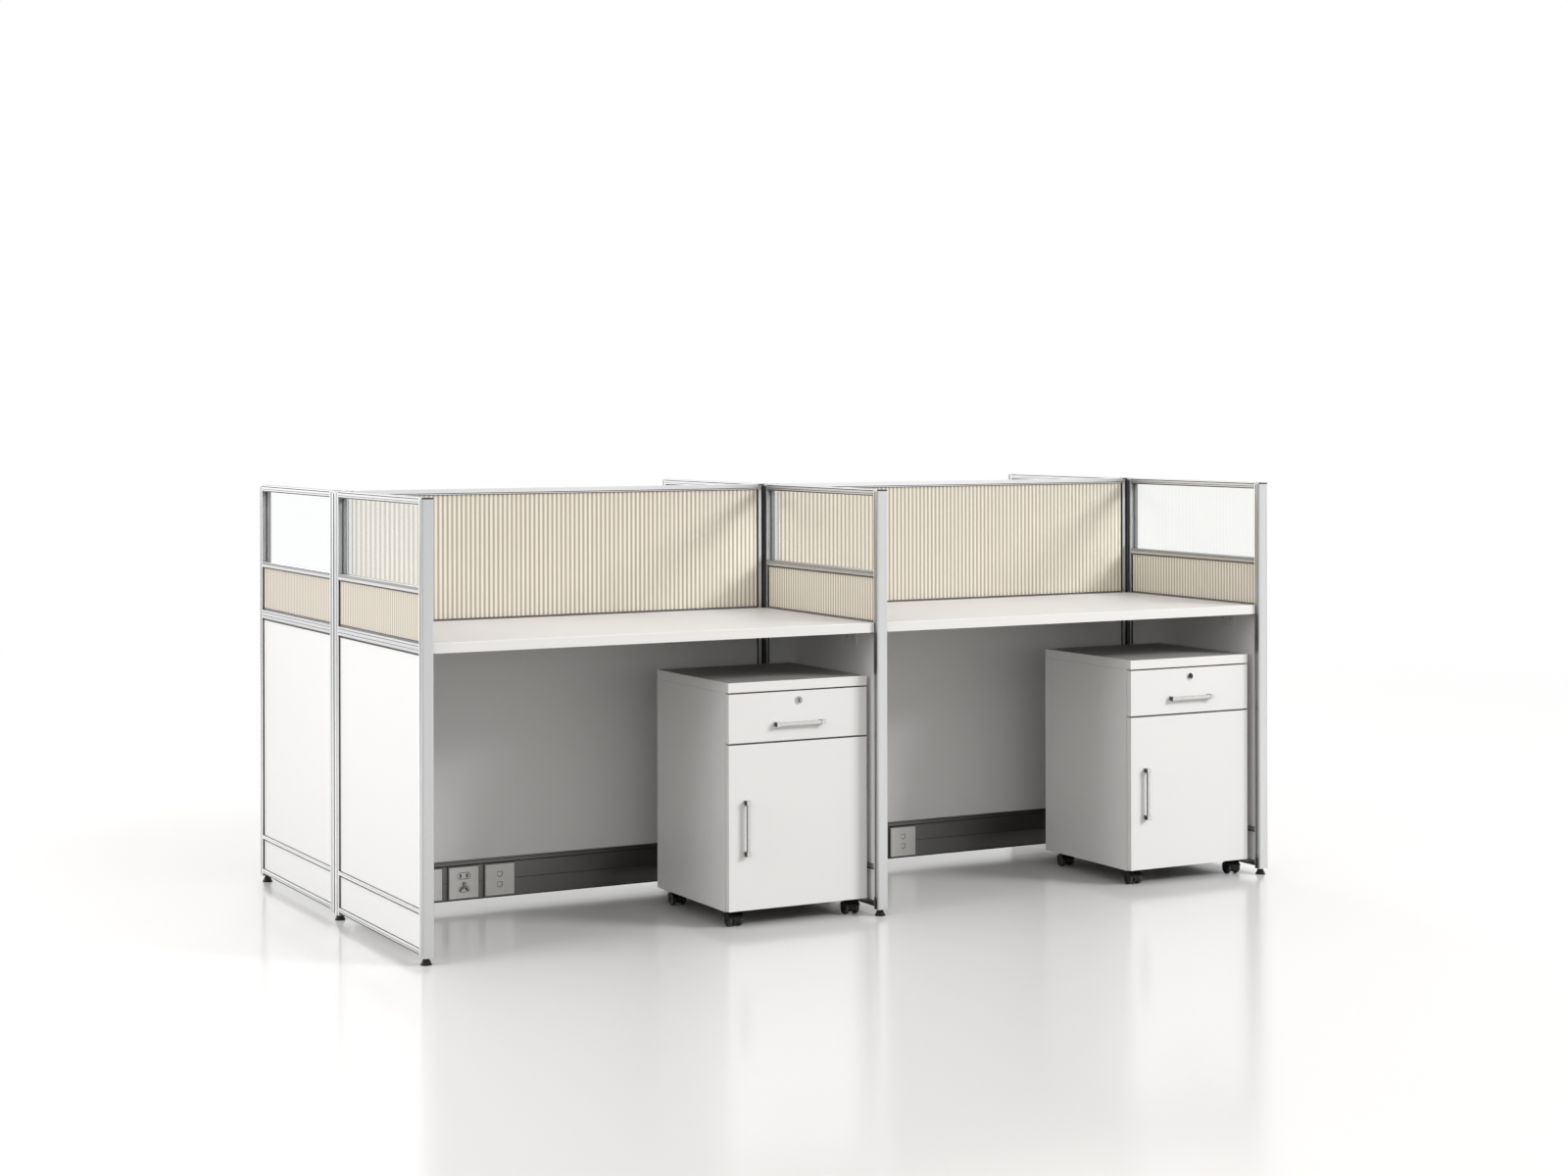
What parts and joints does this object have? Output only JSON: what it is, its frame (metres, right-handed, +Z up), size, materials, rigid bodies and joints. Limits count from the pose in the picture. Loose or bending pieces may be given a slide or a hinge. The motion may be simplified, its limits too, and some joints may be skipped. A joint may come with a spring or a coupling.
{
  "type": "cubicle workstation",
  "caption": "Cluster of cubicle desks with glass-topped, fluted screens, a powered spine raceway and rolling drawer pedestals.",
  "frame": {"origin": "on the floor under the middle of the spine, at the bottom centre of the bounding box", "axes": "+X along the spine, -Y towards the front seats, +Z up"},
  "size_m": [2.49, 1.262, 1.091],
  "materials": {
    "aluminium": "satin anodised",
    "cap_plastic": "silver moulded, black on the end faces",
    "clear_glass": "clear float",
    "black_rubber": "extruded",
    "fluted_board": "ribbed beige laminate",
    "white_board": "white melamine",
    "raceway_metal": "satin grey paint",
    "plate_plastic": "light grey moulded",
    "worktop_board": "light grey laminate",
    "grommet_plastic": "satin moulded",
    "zinc_steel": "zinc plated",
    "foot_plastic": "black moulded",
    "cabinet_board": "white melamine",
    "drawer_board": "white melamine",
    "nickel": "satin nickel",
    "caster_plastic": "black nylon",
    "wheel_tread": "black nylon tread"
  },
  "bodies": {
    "screens": {"spine_posts": "aluminium", "frame_stiles": "aluminium", "wing_rails": "aluminium", "spine_rails": "aluminium", "end_covers": "aluminium", "end_caps": "cap_plastic", "glass_panes": "clear_glass", "glazing_gaskets": "black_rubber", "fluted_panels": "fluted_board", "lower_panels": "white_board", "raceway_covers": "raceway_metal", "power_sockets": "plate_plastic", "data_outlets": "plate_plastic", "worktops": "worktop_board", "grommet_rings": "grommet_plastic", "worktop_brackets": "zinc_steel", "bracket_screws": "zinc_steel", "levelling_feet": "foot_plastic"},
    "grommet_cap_front_left": {"grommet_cap_front_left": "grommet_plastic"},
    "grommet_cap_front_right": {"grommet_cap_front_right": "grommet_plastic"},
    "grommet_cap_rear_left": {"grommet_cap_rear_left": "grommet_plastic"},
    "grommet_cap_rear_right": {"grommet_cap_rear_right": "grommet_plastic"},
    "left_pedestal": {"left_pedestal_carcass": "cabinet_board", "left_pedestal_top": "cabinet_board", "left_pedestal_hardware": "zinc_steel"},
    "left_drawer": {"left_pedestal_drawer_front": "cabinet_board", "left_pedestal_drawer_box": "drawer_board", "left_pedestal_drawer_handle": "nickel"},
    "left_runners": {"left_pedestal_runner_mids": "zinc_steel"},
    "left_door": {"left_pedestal_door": "cabinet_board", "left_pedestal_door_handle": "nickel", "left_pedestal_hinge_cups": "zinc_steel"},
    "left_lock": {"left_pedestal_lock": "nickel"},
    "left_caster_front_left": {"left_pedestal_caster_front_left": "caster_plastic"},
    "left_wheels_front_left": {"left_pedestal_wheels_front_left": "wheel_tread"},
    "left_caster_front_right": {"left_pedestal_caster_front_right": "caster_plastic"},
    "left_wheels_front_right": {"left_pedestal_wheels_front_right": "wheel_tread"},
    "left_caster_rear_left": {"left_pedestal_caster_rear_left": "caster_plastic"},
    "left_wheels_rear_left": {"left_pedestal_wheels_rear_left": "wheel_tread"},
    "left_caster_rear_right": {"left_pedestal_caster_rear_right": "caster_plastic"},
    "left_wheels_rear_right": {"left_pedestal_wheels_rear_right": "wheel_tread"},
    "right_pedestal": {"right_pedestal_carcass": "cabinet_board", "right_pedestal_top": "cabinet_board", "right_pedestal_hardware": "zinc_steel"},
    "right_drawer": {"right_pedestal_drawer_front": "cabinet_board", "right_pedestal_drawer_box": "drawer_board", "right_pedestal_drawer_handle": "nickel"},
    "right_runners": {"right_pedestal_runner_mids": "zinc_steel"},
    "right_door": {"right_pedestal_door": "cabinet_board", "right_pedestal_door_handle": "nickel", "right_pedestal_hinge_cups": "zinc_steel"},
    "right_lock": {"right_pedestal_lock": "nickel"},
    "right_caster_front_left": {"right_pedestal_caster_front_left": "caster_plastic"},
    "right_wheels_front_left": {"right_pedestal_wheels_front_left": "wheel_tread"},
    "right_caster_front_right": {"right_pedestal_caster_front_right": "caster_plastic"},
    "right_wheels_front_right": {"right_pedestal_wheels_front_right": "wheel_tread"},
    "right_caster_rear_left": {"right_pedestal_caster_rear_left": "caster_plastic"},
    "right_wheels_rear_left": {"right_pedestal_wheels_rear_left": "wheel_tread"},
    "right_caster_rear_right": {"right_pedestal_caster_rear_right": "caster_plastic"},
    "right_wheels_rear_right": {"right_pedestal_wheels_rear_right": "wheel_tread"}
  },
  "joints": [
    {"name": "grommet_cap_front_left_lift", "type": "slide", "parent": "screens", "child": "grommet_cap_front_left", "axis": [0, 0, 1], "range_m": [0, 0.04]},
    {"name": "grommet_cap_front_right_lift", "type": "slide", "parent": "screens", "child": "grommet_cap_front_right", "axis": [0, 0, 1], "range_m": [0, 0.04]},
    {"name": "grommet_cap_rear_left_lift", "type": "slide", "parent": "screens", "child": "grommet_cap_rear_left", "axis": [0, 0, 1], "range_m": [0, 0.04]},
    {"name": "grommet_cap_rear_right_lift", "type": "slide", "parent": "screens", "child": "grommet_cap_rear_right", "axis": [0, 0, 1], "range_m": [0, 0.04]},
    {"name": "left_pedestal_roll", "type": "slide", "parent": "screens", "child": "left_pedestal", "axis": [0, -1, 0], "range_m": [-0.14, 0.6]},
    {"name": "left_drawer_slide", "type": "slide", "parent": "left_pedestal", "child": "left_drawer", "axis": [0, -1, 0], "range_m": [0, 0.3]},
    {"name": "left_runner_slide", "type": "slide", "parent": "left_pedestal", "child": "left_runners", "axis": [0, -1, 0], "range_m": [0, 0.15]},
    {"name": "left_door_hinge", "type": "hinge", "parent": "left_pedestal", "child": "left_door", "pos_m": [-0.0275, -0.586, 0.25], "axis": [0, 0, 1], "range_deg": [0, 90]},
    {"name": "left_lock_turn", "type": "hinge", "parent": "left_drawer", "child": "left_lock", "pos_m": [-0.2225, -0.59, 0.5615], "axis": [0, -1, 0], "range_deg": [0, 90]},
    {"name": "left_swivel_front_left", "type": "hinge", "parent": "left_pedestal", "child": "left_caster_front_left", "pos_m": [-0.3905, -0.546, 0.036], "axis": [0, 0, 1], "continuous": true},
    {"name": "left_wheel_spin_front_left", "type": "hinge", "parent": "left_caster_front_left", "child": "left_wheels_front_left", "pos_m": [-0.3905, -0.555, 0.016], "axis": [1, 0, 0], "continuous": true},
    {"name": "left_swivel_front_right", "type": "hinge", "parent": "left_pedestal", "child": "left_caster_front_right", "pos_m": [-0.0545, -0.546, 0.036], "axis": [0, 0, 1], "continuous": true},
    {"name": "left_wheel_spin_front_right", "type": "hinge", "parent": "left_caster_front_right", "child": "left_wheels_front_right", "pos_m": [-0.0545, -0.555, 0.016], "axis": [1, 0, 0], "continuous": true},
    {"name": "left_swivel_rear_left", "type": "hinge", "parent": "left_pedestal", "child": "left_caster_rear_left", "pos_m": [-0.3905, -0.224, 0.036], "axis": [0, 0, 1], "continuous": true},
    {"name": "left_wheel_spin_rear_left", "type": "hinge", "parent": "left_caster_rear_left", "child": "left_wheels_rear_left", "pos_m": [-0.3905, -0.233, 0.016], "axis": [1, 0, 0], "continuous": true},
    {"name": "left_swivel_rear_right", "type": "hinge", "parent": "left_pedestal", "child": "left_caster_rear_right", "pos_m": [-0.0545, -0.224, 0.036], "axis": [0, 0, 1], "continuous": true},
    {"name": "left_wheel_spin_rear_right", "type": "hinge", "parent": "left_caster_rear_right", "child": "left_wheels_rear_right", "pos_m": [-0.0545, -0.233, 0.016], "axis": [1, 0, 0], "continuous": true},
    {"name": "right_pedestal_roll", "type": "slide", "parent": "screens", "child": "right_pedestal", "axis": [0, -1, 0], "range_m": [-0.14, 0.6]},
    {"name": "right_drawer_slide", "type": "slide", "parent": "right_pedestal", "child": "right_drawer", "axis": [0, -1, 0], "range_m": [0, 0.3]},
    {"name": "right_runner_slide", "type": "slide", "parent": "right_pedestal", "child": "right_runners", "axis": [0, -1, 0], "range_m": [0, 0.15]},
    {"name": "right_door_hinge", "type": "hinge", "parent": "right_pedestal", "child": "right_door", "pos_m": [1.1947, -0.596, 0.25], "axis": [0, 0, 1], "range_deg": [0, 90]},
    {"name": "right_lock_turn", "type": "hinge", "parent": "right_drawer", "child": "right_lock", "pos_m": [0.9997, -0.6, 0.5615], "axis": [0, -1, 0], "range_deg": [0, 90]},
    {"name": "right_swivel_front_left", "type": "hinge", "parent": "right_pedestal", "child": "right_caster_front_left", "pos_m": [0.8317, -0.556, 0.036], "axis": [0, 0, 1], "continuous": true},
    {"name": "right_wheel_spin_front_left", "type": "hinge", "parent": "right_caster_front_left", "child": "right_wheels_front_left", "pos_m": [0.8317, -0.565, 0.016], "axis": [1, 0, 0], "continuous": true},
    {"name": "right_swivel_front_right", "type": "hinge", "parent": "right_pedestal", "child": "right_caster_front_right", "pos_m": [1.1677, -0.556, 0.036], "axis": [0, 0, 1], "continuous": true},
    {"name": "right_wheel_spin_front_right", "type": "hinge", "parent": "right_caster_front_right", "child": "right_wheels_front_right", "pos_m": [1.1677, -0.565, 0.016], "axis": [1, 0, 0], "continuous": true},
    {"name": "right_swivel_rear_left", "type": "hinge", "parent": "right_pedestal", "child": "right_caster_rear_left", "pos_m": [0.8317, -0.234, 0.036], "axis": [0, 0, 1], "continuous": true},
    {"name": "right_wheel_spin_rear_left", "type": "hinge", "parent": "right_caster_rear_left", "child": "right_wheels_rear_left", "pos_m": [0.8317, -0.243, 0.016], "axis": [1, 0, 0], "continuous": true},
    {"name": "right_swivel_rear_right", "type": "hinge", "parent": "right_pedestal", "child": "right_caster_rear_right", "pos_m": [1.1677, -0.234, 0.036], "axis": [0, 0, 1], "continuous": true},
    {"name": "right_wheel_spin_rear_right", "type": "hinge", "parent": "right_caster_rear_right", "child": "right_wheels_rear_right", "pos_m": [1.1677, -0.243, 0.016], "axis": [1, 0, 0], "continuous": true}
  ],
  "couplings": [
    {"joint": "left_runner_slide", "follows": "left_drawer_slide", "ratio": 0.5},
    {"joint": "right_runner_slide", "follows": "right_drawer_slide", "ratio": 0.5}
  ]
}
